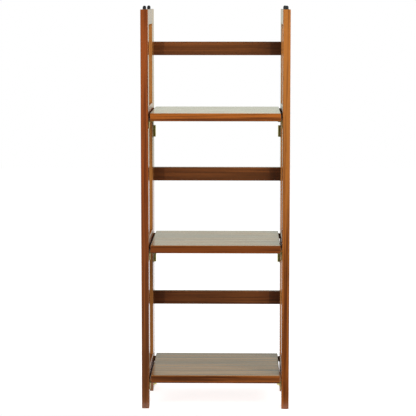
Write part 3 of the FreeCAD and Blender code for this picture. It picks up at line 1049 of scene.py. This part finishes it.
@dataclass
class SideFrame(SubAssembly):
    """One hinged side: stiles, rails, pegs, brackets and hinge leaves."""

    side: str

    @property
    def title(self) -> str:
        """The side's name in the log."""
        return f"{self.side} side"

    def finishes(self) -> dict[str, Finish]:
        """Names the nodes and their finishes.

        Returns:
            Finishes by node.
        """
        chosen: dict[str, Finish] = {
            "front_stile": UPRIGHT_WOOD[self.side],
            "rear_stile": REAR_STILE_WOOD,
            "top_rail": TOP_RAIL_WOOD,
            "shelf_rests": BRIGHT_BRASS,
            "hinge_side_leaves": BRASS,
            "stacking_pegs": PEG_BLACK,
            "frame_dowels": BEECH,
        }
        for level in LEVELS:
            chosen[f"shelf_rail_{level}"] = SHELF_RAIL_WOOD
        return {f"{self.side}_{name}": finish for name, finish in chosen.items()}

    def screws(self) -> list[CrossScrews]:
        """Lists the screws of the brackets and of the hinge leaves on the rear stile.

        Returns:
            The two sets.
        """
        side, body = self.side, f"{self.side}_side"
        return [
            CrossScrews(f"{side}_rest_screws", body, side, BRIGHT_BRASS, REST_HEAD_DEPTH),
            CrossScrews(f"{side}_hinge_side_screws", body, side, SCREW_BRASS, HINGE_HEAD_DEPTH),
        ]


@dataclass
class Shelves(SubAssembly):
    """The three flip-up shelves."""

    title: str = "shelves"

    def finishes(self) -> dict[str, Finish]:
        """Names the nodes and their finishes."""
        return {f"shelf_{level}": SHELF_WOOD[level] for level in LEVELS}


@dataclass(frozen=True)
class SoftBox:
    """One studio lamp, aimed at a point, whose own shape no gloss mirrors."""

    name: str
    place: Triple
    aim: Triple
    size: tuple[float, float]
    watts: float

    def hang(self) -> None:
        """Adds the lamp to the scene."""
        data = bpy.data.lights.new(self.name, "AREA")
        data.shape = "RECTANGLE"
        data.size, data.size_y = self.size
        data.energy = self.watts
        lamp = bpy.data.objects.new(self.name, data)
        lamp.location = self.place
        lamp.rotation_mode = "QUATERNION"
        lamp.rotation_quaternion = (Vector(self.aim) - Vector(self.place)).to_track_quat("-Z", "Y")
        lamp.visible_glossy = False
        bpy.context.scene.collection.objects.link(lamp)


@dataclass
class Studio:
    """White floor and surround, soft lamps and the camera.

    Attributes:
        floor_front: Where the floor starts, in front of the case.
        floor_back: Where it ends.
        floor_half: Half its width.
        floor_level: Its level, a hair below the feet.
        floor_colour: Its colour.
        floor_roughness: Its roughness.
        floor_glow: How much it glows where it is seen or mirrored, so that it reads white.
        surround: The strength of the light from all around.
        camera_side: The strength of the surround that gloss mirrors from the camera's side.
        camera_side_fade: The directions along Y between which it rises to full.
        overhead: The share of it that gloss mirrors from above.
        overhead_fade: The directions along Z between which it falls to that share.
        backdrop: The tint of the mirrored surround.
        eye: The camera's place.
        pitch_down_deg: How far the camera looks down.
        yaw_deg: How far it looks to the left.
        lens: Its focal length in millimetres.
        sensor: Its sensor's width in millimetres.
        lamps: The lamps.
    """

    floor_front: float = -0.2
    floor_back: float = 6.0
    floor_half: float = 4.0
    floor_level: float = -0.0002
    floor_colour: Colour = (0.9, 0.9, 0.9)
    floor_roughness: float = 0.9
    floor_glow: float = 0.85
    surround: float = 0.2
    camera_side: float = 0.14
    camera_side_fade: tuple[float, float] = (-0.25, 0.1)
    overhead: float = 0.45
    overhead_fade: tuple[float, float] = (0.05, 0.3)
    backdrop: Colour = (0.86, 0.92, 0.80)
    eye: Triple = (0.0659, -4.3035, 0.978)
    pitch_down_deg: float = 6.694
    yaw_deg: float = 1.148
    lens: float = 152.1
    sensor: float = 36.0
    lamps: tuple[SoftBox, ...] = (
        SoftBox("key_lamp", (0.85, -1.05, 1.25), (0.0, 0.0, 1.05), (1.0, 1.0), 21.0),
        SoftBox("fill_lamp", (-1.1, -1.5, 0.8), (0.0, 0.0, 0.45), (1.4, 1.4), 11.0),
        SoftBox("rear_lamp", (-0.9, 1.9, 2.1), (0.0, 0.0, 0.7), (1.6, 1.6), 14.0),
    )

    def build(self) -> None:
        """Makes the whole studio."""
        self._world()
        self._floor()
        for lamp in self.lamps:
            lamp.hang()
        self._camera()
        bpy.context.scene.view_settings.view_transform = "Standard"

    def _world(self) -> None:
        """A white surround at a plain level, mirrored darker behind the camera and overhead."""
        world = bpy.data.worlds.new("surround")
        world.use_nodes = True
        bpy.context.scene.world = world
        graph = Graph(world.node_tree)
        light = next(node for node in world.node_tree.nodes if node.type == "BACKGROUND")
        path = graph.tree.nodes.new("ShaderNodeLightPath").outputs
        way = graph.tree.nodes.new("ShaderNodeTexCoord").outputs["Generated"]
        at = graph.add("ShaderNodeSeparateXYZ", Vector=way).outputs
        behind = graph.spread(at["Y"], *self.camera_side_fade, self.camera_side, 1.0)
        above = graph.spread(at["Z"], *self.overhead_fade, 1.0, self.overhead)
        shown = graph.math("MAXIMUM", path["Is Camera Ray"], path["Is Transmission Ray"])
        plain = graph.math("MULTIPLY_ADD", shown, 1.0 - self.surround, self.surround)
        mirrored = graph.math("SUBTRACT", graph.math("MULTIPLY", behind, above), plain)
        strength = graph.math("MULTIPLY_ADD", path["Is Glossy Ray"], mirrored, plain)
        graph.feed(light.inputs["Color"], graph.blend(path["Is Glossy Ray"], WHITE, self.backdrop))
        graph.feed(light.inputs["Strength"], strength)

    def _floor(self) -> None:
        """A pale floor that reads white, also where it is mirrored, and keeps a faint shadow."""
        half, level = self.floor_half, self.floor_level
        front, back = self.floor_front, self.floor_back
        corners = [(-half, front, level), (half, front, level), (half, back, level), (-half, back, level)]
        mesh = bpy.data.meshes.new("floor")
        mesh.from_pydata(corners, [], [(0, 1, 2, 3)])
        floor = bpy.data.objects.new("floor", mesh)
        bpy.context.scene.collection.objects.link(floor)
        material, graph, shader = new_material("pale_floor")
        path = graph.tree.nodes.new("ShaderNodeLightPath").outputs
        seen = graph.math("MAXIMUM", path["Is Camera Ray"], path["Is Glossy Ray"])
        seen = graph.math("MAXIMUM", seen, path["Is Transmission Ray"])
        graph.feed(shader.inputs["Base Color"], self.floor_colour)
        graph.feed(shader.inputs["Roughness"], self.floor_roughness)
        graph.feed(shader.inputs["Emission Color"], WHITE)
        graph.feed(shader.inputs["Emission Strength"], graph.math("MULTIPLY", seen, self.floor_glow))
        mesh.materials.append(material)

    def _camera(self) -> None:
        """The camera at the photograph's viewing angle."""
        data = bpy.data.cameras.new("camera")
        data.lens = self.lens
        data.sensor_width = self.sensor
        camera = bpy.data.objects.new("camera", data)
        camera.location = self.eye
        tilt = math.pi / 2 - math.radians(self.pitch_down_deg)
        camera.rotation_euler = Euler((tilt, 0.0, math.radians(self.yaw_deg)))
        bpy.context.scene.collection.objects.link(camera)
        bpy.context.scene.camera = camera


def clear_startup() -> None:
    """Removes the objects that an empty file starts with."""
    for name in ("Cube", "Light", "Camera"):
        thing = bpy.data.objects.get(name)
        if thing is not None:
            bpy.data.objects.remove(thing)


def main() -> None:
    """Dresses the frame, adds the screws and builds the studio."""
    logging.basicConfig(level=logging.INFO)
    clear_startup()
    materials = Materials()
    parts = (BackFrame(), *(SideFrame(side) for side in SIDES), Shelves())
    for part in parts:
        part.dress(materials)
    for part in parts:
        part.build(materials)
    Studio().build()


if __name__ == "__main__":
    main()
